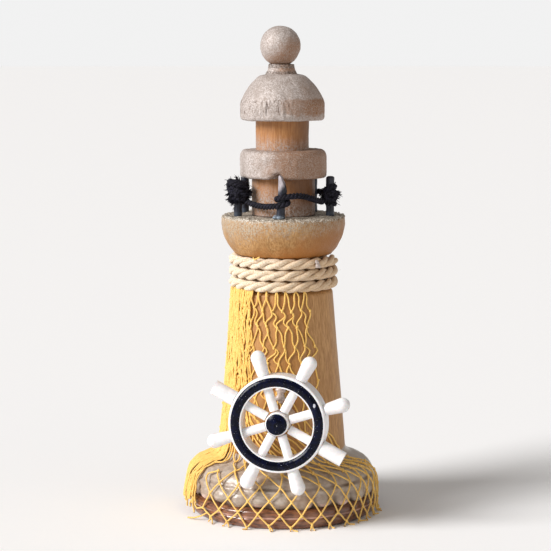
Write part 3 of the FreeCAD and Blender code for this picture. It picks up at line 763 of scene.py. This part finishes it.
finishes = {
    "tower_body": (towerWood(), "tan_wood"),
    "gallery_bowl": (bowlWood(), "tan_wood"),
    "watch_room": (drumWood("watch room wood", 91.5, 98.5, 0.45, -9.0), "pale_wood"),
    "lantern_disc": (silverPaint("disc paint", -9.5, 0.5), "silver_paint"),
    "lantern_neck": (drumWood("lantern neck wood", 109.0, 113.5, 0.1, 0.5), "pale_wood"),
    "roof_dome": (silverPaint("roof paint", 2.0, 10.0, band=(118.6, 123.8)), "silver_paint"),
    "finial_collar": (
        silverPaint("collar paint", -6.0, 3.0, seams=((130.7, 131.4), (132.6, 133.6))), "silver_paint"),
    "finial_ball": (silverPaint("ball paint", -3.0, 5.0, 139.5, 1.7), "silver_paint"),
}
shapedBy = {"lantern_disc": chippedDisc, "roof_dome": streakedRoof, "gallery_bowl": crumbledBowl,
            "finial_ball": makeBall}
for name, (material, slot) in finishes.items():
    piece = shapedBy[name]() if name in shapedBy else turnedWood(name)
    rides(painted(smooth(piece, 50), material), slot, name)
print("turned wood ready")


# rail posts

posts = {
    "circle": 14.3, "radius": 1.22, "foot": 88.6,
    "front": {"angle": -95, "top": 101.9}, "left": {"angle": -160, "top": 99.8},
    "rear_left": {"angle": 144, "top": 99.9}, "rear_right": {"angle": 50, "top": 100.2},
    "right": {"angle": -15, "top": 100.8},
    "cut": {"tip": -0.75, "drop": 4.9}, "lean": (0.35, 1.15), "swell": 1.12,
}


def postPlace(name):
    angle = math.radians(posts[name]["angle"])
    return Vector((math.cos(angle) * posts["circle"], math.sin(angle) * posts["circle"]))


def blobs(name, middle, count, reach, size, seed):
    # small set drops of glue run together
    chance, drops = random.Random(seed), []
    for drop in range(count):
        spot = [middle[axis] + chance.uniform(-1, 1) * reach[axis] for axis in range(3)]
        putDown()
        bpy.ops.mesh.primitive_ico_sphere_add(subdivisions=3, radius=size * chance.uniform(0.7, 1.1) * mm,
                                              location=[v * mm for v in spot])
        bpy.context.object.scale = (1.0, 1.0, chance.uniform(0.6, 0.9))
        drops.append(bpy.context.object)
    piece = joined(name, drops)
    applied(piece, "REMESH", {"mode": "VOXEL", "voxel_size": 0.14 * mm, "use_smooth_shade": True})
    applied(piece, "SMOOTH", {"factor": 0.6, "iterations": 5})
    return piece


def makePost(name, finish):
    place, top = postPlace(name), posts[name]["top"]
    thick = posts["radius"]
    corners = [(0.0, posts["foot"], 0), (thick, posts["foot"], 0), (thick * 0.97, posts["foot"] + 5, 0.5),
               (thick * 1.02, top - 0.4, 0.1), (thick - 0.35, top, 0.2), (0.0, top, 0)]
    piece = turnedOnLathe("rail_post_" + name, corners, 0.7, 24, place)
    if name == "front":
        pickUp(piece)
        bpy.ops.object.mode_set(mode="EDIT")
        bpy.ops.mesh.select_all(action="SELECT")
        tip = (place.x + posts["cut"]["tip"], place.y, top)
        slope = Vector((posts["cut"]["drop"], -0.8, thick * 1.75)).normalized()
        bpy.ops.mesh.bisect(plane_co=[v * mm for v in tip], plane_no=slope, use_fill=True, clear_outer=True)
        bpy.ops.object.mode_set(mode="OBJECT")
        applied(piece, "BEVEL", {"width": 0.25 * mm, "segments": 3, "limit_method": "ANGLE"})
        for vert in piece.data.vertices:
            share = ease(vert.co.z / mm, posts["foot"], top)
            vert.co.x += (vert.co.x - place.x * mm) * (posts["swell"] - 1) * share
            vert.co.x += (posts["lean"][0] + (posts["lean"][1] - posts["lean"][0]) * share) * mm
    unevenSkin(piece, 0.12, 1.5, (1, 1, 0.4), len(name))
    rides(painted(smooth(piece, 40), finish), "post_paint", "rail_post_" + name)


plainPost = postPaint("post paint")
makePost("front", postPaint("front post paint", (97.6, 99.8)))
for name in ("left", "right", "rear_left", "rear_right"):
    makePost(name, plainPost)
frontFoot = postPlace("front")
postGlue = painted(blobs("post_glue", (frontFoot.x - 0.4, frontFoot.y - 0.3, 89.4), 5, (1.0, 0.7, 0.25), 0.95, 3),
                   glue("post glue", tint(150, 164, 176), tint(96, 108, 124)))
rides(postGlue, "peg_glue")
print("posts ready")

dryGlue = glue("dry glue", tint(214, 200, 192), tint(176, 160, 152))
painted(nodes["wheel_peg"], dryGlue)
spills = {
    "hub_glue": {"at": (-0.3, -17.7, 38.4), "drops": 16, "reach": (1.3, 0.15, 2.8), "size": 1.15, "seed": 4},
    "rope_glue": {"at": (10.1, -13.1, 75.9), "drops": 9, "reach": (0.5, 0.4, 1.1), "size": 0.6, "seed": 9},
    "collar_glue": {"at": (-3.6, -3.2, 131.1), "drops": 6, "reach": (0.9, 0.6, 0.12), "size": 0.42, "seed": 6},
}
for name, spill in spills.items():
    drops = blobs(name, spill["at"], spill["drops"], spill["reach"], spill["size"], spill["seed"])
    rides(painted(drops, dryGlue), "peg_glue")
for name in ("tower_foot_dowel", "gallery_dowel", "lantern_spindle", "roof_dowel", "finial_pin"):
    painted(nodes[name], finishes["lantern_neck"][0])
print("dowels ready")


# base: a lacquered plinth under a grey mound with a ring of lobes round its foot

base = {
    "plinth": [(0.0, 0.0, 0), (27.3, 0.0, 0.7), (28.2, 1.3, 0.6), (28.45, 2.6, 0.4), (28.15, 3.15, 0.3),
               (28.5, 3.8, 0.5), (28.35, 5.1, 0.5), (27.2, 5.9, 0.4), (0.0, 5.9, 0)],
    "mound": [(0.0, 5.4, 0), (26.4, 5.4, 0.4), (26.5, 6.6, 0.4), (26.7, 8.6, 0.5), (27.9, 10.3, 0.4),
              (28.1, 11.2, 0.3), (26.9, 11.6, 0.2), (27.2, 12.3, 0.3), (25.6, 14.6, 1.2), (22.8, 15.8, 1.0),
              (20.5, 16.6, 0.9), (19.2, 17.9, 0.8), (18.65, 19.6, 0.2), (0.0, 19.4, 0)],
    "lobes": 26, "lobeTurn": 0.09, "lobe": (3.35, 2.2, 2.7), "lobeCircle": 26.3, "lobeHeight": 8.2,
    "grit": 0.40,
}


def makePlinth():
    piece = turnedOnLathe("base_plinth", base["plinth"], 0.9, 180)
    unevenSkin(piece, 0.35, 7.0, (1, 1, 0.6), 3, lambda at: ease(at.z, 0.3, 1.6) * ease(at.xy.length, 22, 27))
    rides(painted(smooth(piece, 60), brownLacquer()), "brown_lacquer", "base_plinth")


def markDripsAndShade(piece):
    # where the glossy drips hang along the lobes' lower edges, which carry a painted pinkish highlight, and where
    # painted shade darkens the groove above them and the gaps between the lobes
    drip = piece.data.attributes.new("drip", "FLOAT", "POINT")
    crevice = piece.data.attributes.new("crevice", "FLOAT", "POINT")
    for index, vert in enumerate(piece.data.vertices):
        at = vert.co / mm
        out = at.xy.length
        patchy = ease(noise.noise(at * 0.21), -0.2, 0.1)
        # painted highlight along the lobes' lower edges, where the drips also get their gloss
        drip.data[index].value = ease(out, 27.3, 27.9) * (1 - ease(at.z, 6.6, 7.7)) * patchy
        # painted shade: the groove at the shoulder and the gaps between the lobes
        groove = (1 - ease(abs(at.z - 11.55), 0.2, 0.5)) * ease(out, 25.5, 26.5)
        groove *= 0.25 + 0.75 * ease(noise.noise(at * 0.15), -0.1, 0.25)
        crevice.data[index].value = max(groove, (1 - ease(out, 26.7, 27.8)) * (1 - ease(at.z, 8.6, 9.6)))


def makeMound():
    body = turnedOnLathe("base_mound", base["mound"], 1.2, 150)
    lobes = []
    for turn in range(base["lobes"]):
        angle = math.tau * turn / base["lobes"] + base["lobeTurn"]
        wide, deep, tall = base["lobe"]
        spot = (math.cos(angle) * base["lobeCircle"] * mm, math.sin(angle) * base["lobeCircle"] * mm,
                (base["lobeHeight"] + dice.uniform(-0.25, 0.25)) * mm)
        putDown()
        bpy.ops.mesh.primitive_uv_sphere_add(segments=20, ring_count=12, radius=mm, location=spot,
                                             rotation=(0.0, 0.0, angle))
        lobe = bpy.context.object
        lobe.scale = (deep, wide * dice.uniform(0.92, 1.08), tall * dice.uniform(0.93, 1.05))
        bpy.ops.object.transform_apply(location=False, rotation=False, scale=True)
        lobes.append(lobe)
    piece = joined("base_mound", [body] + lobes)
    applied(piece, "REMESH", {"mode": "VOXEL", "voxel_size": base["grit"] * mm, "use_smooth_shade": True})
    applied(piece, "SMOOTH", {"factor": 0.5, "iterations": 7})
    unevenSkin(piece, 0.22, 6.0, (1, 1, 1.6), 8, lambda at: ease(at.xy.length, 19.2, 21.0))
    markDripsAndShade(piece)
    rides(painted(piece, greyWood()), "grey_wood", "base_mound")


makePlinth()
makeMound()
print("base ready")


# ship's wheel

def wheelWhite():
    white = Finish("wheel white")
    cloud = white.grain(1.6, detail=3.0)
    colour = white.mixed(cloud.between(0.3, 0.7), tint(230, 227, 227), tint(244, 242, 243))
    return white.surface(Base_Color=colour, Roughness=cloud.between(0.3, 0.7, 0.30, 0.40),
                         Subsurface_Weight=0.25, Subsurface_Radius=(0.9, 0.6, 0.45), Subsurface_Scale=0.0012,
                         Coat_Weight=0.25, Coat_Roughness=0.2, Normal=white.relief(cloud, 0.12, 0.25))


def wheelNavy():
    navy = Finish("wheel navy")
    cloud = navy.grain(1.3, (1, 1, 1), 3.0, 0.6)
    speck = navy.grain(0.28, (1, 1, 1), 2.0, 0.7)
    nickX, nickZ = navy.across("X") - 8.6, navy.height() - 38.1
    nick = (nickX * nickX * 3.0 + nickZ * nickZ + (speck - 0.5) * 0.8).between(0.25, 0.45, 1.0, 0.0)
    chip = speck.between(0.715, 0.735).most(nick)
    colour = navy.mixed(cloud.between(0.35, 0.75), tint(3, 5, 18), tint(8, 14, 44))
    colour = navy.mixed(chip * 0.9, colour, tint(206, 208, 216))
    return navy.surface(Base_Color=colour, Roughness=chip.between(0.0, 1.0, 0.20, 0.6), Specular_IOR_Level=0.16,
                        Normal=navy.relief(cloud, 0.16, 0.5))


whitePlastic, navyGloss = wheelWhite(), wheelNavy()
for name in ["wheel_rim", "wheel_hub"] + [f"wheel_spoke_{k}" for k in range(1, 9)]:
    painted(nodes[name], whitePlastic)
for name in ("wheel_band", "wheel_hub_cap"):
    painted(nodes[name], navyGloss)
print("wheel ready")


# fishing net: a lattice of twine, gathered on the left and let out over the base

net = {
    "columns": 38, "gathered": 31.2, "twine": 0.50, "knot": 0.54,
    "start": -186.0, "gatheredTo": -127.0, "end": -62.0, "widen": 8.0,
    "hemStart": -194.0, "hemGathered": 24.5, "hemGatheredTo": -152.0, "hemEnd": -10.0,
    "row": 5.3, "rows": 9, "hemRow": 4.15, "hemRows": 6, "tassel": 2.6,
    "sheaf": 0.9, "sheafShort": 3.4, "sheafTurn": -3.0, "strands": 46,
    "long": 0.5, "slant": 0.15, "curl": 0.6,
    "drape": [(15.05, 68.0), (16.2, 50.0), (17.8, 30.0), (19.1, 19.6), (20.4, 17.5), (23.0, 16.4), (25.9, 15.0),
              (28.0, 12.8), (28.6, 10.6), (28.9, 7.2), (28.9, 4.4), (28.8, 1.8), (29.3, 0.5)],
}


def aroundAxis(radius, degrees, height):
    angle = math.radians(degrees)
    return Vector((math.cos(angle) * radius, math.sin(angle) * radius, height)) * mm


def drapeAt(run):
    line = [Vector(point) for point in net["drape"]]
    for near, far in zip(line, line[1:]):
        step = (far - near).length
        if run <= step or far is line[-1]:
            return near.lerp(far, min(max(run / step, 0.0), 1.0))
        run -= step


def netAngle(column, run):
    def spread(start, middle, end, gathered, closing=1.0):
        if column <= gathered:
            return start + (middle - start) * column / gathered
        share = (column - gathered) / (net["columns"] - 0.5 - gathered)
        return middle + (end - middle) * (1 - (1 - share) ** closing)
    end = net["end"] + net["widen"] * ease(run, 0.0, 22.0)
    high = spread(net["start"], net["gatheredTo"], end, net["gathered"])
    low = spread(net["hemStart"], net["hemGatheredTo"], net["hemEnd"], net["hemGathered"], 1.3)
    return high + (low - high) * ease(run, 32.0, 62.0)


def openness(column, run):
    # 0 where the net is gathered in a bunch, 1 where its diamonds hang open
    high = ease(column, net["gathered"] - 1.5, net["gathered"] + 1.0)
    low = ease(column, net["hemGathered"] - 1.0, net["hemGathered"] + 2.0) * ease(run, 44.0, 60.0)
    return max(high, low)


def netSpot(column, run, lift=0.0, sway=0.0):
    radius, height = drapeAt(run)
    bunch = (1 - ease(column, net["hemGathered"] - 6, net["hemGathered"] + 1)) * ease(run, 62.0, 72.0)
    angle = math.radians(netAngle(column, run) + bunch * net["sheafTurn"]) + sway / radius
    radius += lift + bunch * net["sheaf"]
    return Vector((math.cos(angle) * radius, math.sin(angle) * radius, height)) * mm


def twineFinish():
    twine = Finish("yellow twine")
    ply = twine.grain(0.22, (1, 1, 1), 3.0, 0.7)
    cloud = twine.grain(5.0, detail=2.0)
    colour = twine.mixed(ply.between(0.30, 0.70), tint(226, 168, 66), tint(252, 218, 128))
    colour = twine.mixed(cloud.between(0.45, 0.8, 0.0, 0.5), colour, tint(236, 190, 100))
    return twine.surface(Base_Color=colour, Roughness=0.6, Sheen_Weight=0.2, Normal=twine.relief(ply, 0.08, 0.8))


def knotShape():
    # one knot, a squashed lump with a twist, copied to every crossing
    putDown()
    bpy.ops.mesh.primitive_uv_sphere_add(segments=7, ring_count=5, radius=net["knot"] * mm)
    lump = bpy.context.object
    bpy.ops.object.mode_set(mode="EDIT")
    bpy.ops.mesh.select_all(action="SELECT")
    bpy.ops.transform.resize(value=(0.78, 0.70, 1.2))
    bpy.ops.object.mode_set(mode="OBJECT")
    bpy.ops.object.shade_smooth()
    return lump


def tasselEnds(chance, place, run, lift, sway):
    # loose ends below a hem knot
    lines = []
    for end in range(2):
        reach = net["tassel"] * chance.uniform(0.5, 1.2)
        start = netSpot(place, run, lift, sway)
        out = Vector((start.x, start.y, 0.0)).normalized()
        side = Vector((-out.y, out.x, 0.0)) * chance.uniform(-0.9, 0.9)
        line = []
        for step in range(5):
            share = step / 4
            spot = start + (side * share + out * 0.45 * share * share) * reach * mm
            spot.z = max(start.z - share * reach * 0.8 * mm, 0.26 * mm)
            line.append((spot, 1.0 - 0.25 * share))
        lines.append(line)
    return lines


def sheafStrands(chance):
    # long loose strands that flow over the mound where the net is bunched
    lines = []
    for strand in range(net["strands"]):
        column = chance.uniform(0.5, net["hemGathered"] - 1)
        start, end = chance.uniform(38.0, 50.0), 72.5 - net["sheafShort"] - chance.uniform(-0.4, 2.4)
        lift, drift, phase = chance.uniform(0.1, 0.7), chance.uniform(-1.2, 1.2), chance.uniform(0.0, 6.0)
        line = []
        for step in range(22):
            share = step / 21
            sway = drift * share + 0.45 * math.sin(phase + share * 7.0)
            line.append((netSpot(column, start + (end - start) * share, lift * (0.4 + 0.6 * share), sway), 1.0))
        lines.append(line)
    return lines


def strayEnd():
    # one long end that lies out past the foot of the base
    spots = [(28.9, -141.0, 2.6), (29.9, -144.0, 1.5), (31.2, -147.5, 0.7), (32.4, -151.0, 0.5)]
    return [(aroundAxis(*spot), 1.0) for spot in spots]


def threadBit():
    # a bit of twine caught between the bowl and the rope
    spots = [(15.6, -124.5, 77.6), (16.2, -121.5, 77.2), (16.5, -118.5, 77.5), (16.2, -115.5, 78.0)]
    return [(aroundAxis(*spot), 0.9) for spot in spots]


def makeNet():
    chance = random.Random(5)
    rows = net["rows"] + net["hemRows"]
    spots = {}
    for row in range(rows + 1):
        for column in range(net["columns"]):
            place = column + (0.5 if row % 2 else 0.0)
            run = min(row, net["rows"]) * net["row"] + max(0, row - net["rows"]) * net["hemRow"]
            loose = 1.0 - openness(place, run)
            short = 1 - ease(place, net["hemGathered"] - 3, net["hemGathered"] + 2)
            if row == rows:
                run -= chance.uniform(0.0, 1.6)
            run -= net["sheafShort"] * short * ease(run, 56.0, 72.0)
            run += chance.uniform(-1.0, 1.0) * (0.35 + 2.0 * loose) * (row > 0)
            sway = chance.uniform(-1.0, 1.0) * (0.28 + 0.30 * loose) * (1 - 0.6 * loose * ease(run, 48.0, 56.0))
            lift = chance.uniform(0.0, 0.12) + chance.uniform(0.0, 0.4) * loose
            hung = (1 - loose) * (1 - ease(run, 34.0, 46.0)) * (row % 2)
            run += net["long"] * hung
            sway += net["slant"] * hung
            spots[row, column] = (place, max(run, 0.0), lift, sway)
    lines = [strayEnd(), threadBit()] + sheafStrands(chance)
    for (row, column), here in spots.items():
        bunched = openness(here[0], here[1]) < 0.5 and here[1] > 50.0
        if row == rows:
            lines += tasselEnds(chance, *here) if not bunched else []
            continue
        for side in (-1, 0) if row % 2 == 0 else (0, 1):
            there = spots.get((row + 1, column + side))
            if not there or bunched and chance.random() < 0.5:
                continue
            tight = openness(here[0], here[1]) * ease(here[1], 44.0, 54.0)
            bow = chance.uniform(-0.5, 0.5) * (1 - 0.7 * tight)
            curl = chance.uniform(-0.45, 0.45) * (1 - 0.8 * tight)
            if row % 2 and openness(here[0], here[1]) > 0.5:
                curl += net["curl"] * (1 - ease(here[1], 34.0, 46.0))
            line = []
            for step in range(8):
                share = step / 7
                part = [near + (far - near) * share for near, far in zip(here, there)]
                arch, wave = math.sin(share * math.pi), math.sin(share * math.tau)
                spot = netSpot(part[0], part[1], part[2] + 0.12 * arch, part[3] + bow * arch + curl * wave)
                line.append((spot, 1.0))
            lines.append(line)
    twine = tubes("fishing_net", lines, net["twine"], 6, False)
    lump = knotShape()
    pieces = [twine]
    for (row, column), (place, run, lift, sway) in spots.items():
        if row == 0 or openness(place, run) < 0.5 and run > 50.0:
            continue
        knot = duplicateOf(lump)
        knot.location = netSpot(place, run, lift + 0.05, sway)
        knot.rotation_euler = [chance.uniform(-0.6, 0.6), chance.uniform(-0.6, 0.6), chance.uniform(0, 3)]
        pieces.append(knot)
    bpy.data.objects.remove(lump)
    piece = painted(joined("fishing_net", pieces), twineFinish())
    rides(piece, "net_twine", "fishing_net")
    return piece


makeNet()
print("net ready")


# frayed knots that tie the cord to the side posts

knots = {
    "rail_knot_left": {"post": "left", "middle": 96.3, "wide": 2.5, "tall": 3.2, "loops": 7,
                       "tufts": 34, "reach": 2.7, "toward": (-0.45, -0.1, -0.2), "seed": 3},
    "rail_knot_right": {"post": "right", "middle": 95.2, "wide": 1.9, "tall": 2.5, "loops": 6,
                        "tufts": 24, "reach": 2.0, "toward": (0.15, 0.0, 0.15), "seed": 8},
    "thick": 1.7, "lay": 3.2,
}


def knotCore(name, facts, middle):
    # a rough dark lump inside the loops
    putDown()
    bpy.ops.mesh.primitive_ico_sphere_add(subdivisions=4, radius=mm, location=middle)
    core = bpy.context.object
    core.scale = (facts["wide"] * 1.05, facts["wide"] * 1.05, facts["tall"] * 1.1)
    return unevenSkin(joined(name + "_core", [core]), 0.9, 1.3, (1, 1, 0.5), facts["seed"])


def tuft(chance, facts, middle):
    # a bunch of torn fibres that leave the knot together
    out = Vector([chance.gauss(0, 1) for axis in range(3)]).normalized()
    lean = (out + Vector(facts["toward"]) * chance.uniform(0, 1.4)).normalized()
    root = middle + Vector((out.x * facts["wide"], out.y * facts["wide"], out.z * facts["tall"])) * 0.95 * mm
    long, lines = facts["reach"] * chance.uniform(0.4, 1.0), []
    for hair in range(chance.randint(12, 20)):
        start = root + Vector([chance.gauss(0, 0.28) for axis in range(3)]) * mm
        spread = Vector([chance.gauss(0, 0.25) for axis in range(3)])
        run = long * chance.uniform(0.6, 1.0) * mm
        lines.append([(start + (lean + spread * (step / 4)).normalized() * run * step / 4, 1.0 - 0.18 * step)
                      for step in range(5)])
    return lines


def frayedKnot(name):
    facts = knots[name]
    chance = random.Random(facts["seed"])
    place = postPlace(facts["post"])
    middle = Vector((place.x, place.y, facts["middle"])) * mm
    lines, hairs = [], []
    for loop in range(facts["loops"]):
        tilt = Matrix.Rotation(chance.uniform(-0.9, 0.9), 3, "X")
        tilt = tilt @ Matrix.Rotation(chance.uniform(-0.7, 0.7), 3, "Y")
        rise = (loop / (facts["loops"] - 1) - 0.5) * facts["tall"] * 1.5
        wide = facts["wide"] * chance.uniform(0.8, 1.15)
        ring = []
        for step in range(26):
            turn = math.tau * step / 24 + loop
            spot = tilt @ Vector((math.cos(turn) * wide, math.sin(turn) * wide, 0.0))
            spot.z = spot.z * 0.7 + rise
            ring.append(middle + spot * mm)
        strands, strand = laidStrands(ring, knots["thick"], 3, knots["lay"], 0.3, seed=loop)[:2]
        lines += strands
        hairs += fuzz(ring, knots["thick"], 20, 1.6, loop + facts["seed"], 0.7)
    for each in range(facts["tufts"]):
        hairs += tuft(chance, facts, middle)
    body = tubes(name, lines, strand, 8)
    wisps = tubes(name + "_fray", hairs, 0.24, 4)
    core = knotCore(name, facts, middle)
    piece = painted(joined(name, [body, wisps, core]), navyCord)
    rides(piece, "rail_cord", name)
    return piece


tied = [frayedKnot("rail_knot_left"), frayedKnot("rail_knot_right")]
makeRailCord("rail_cord_front", railCord["front"], 1)
makeRailCord("rail_cord_back", railCord["back"], 2)
print("knots ready")
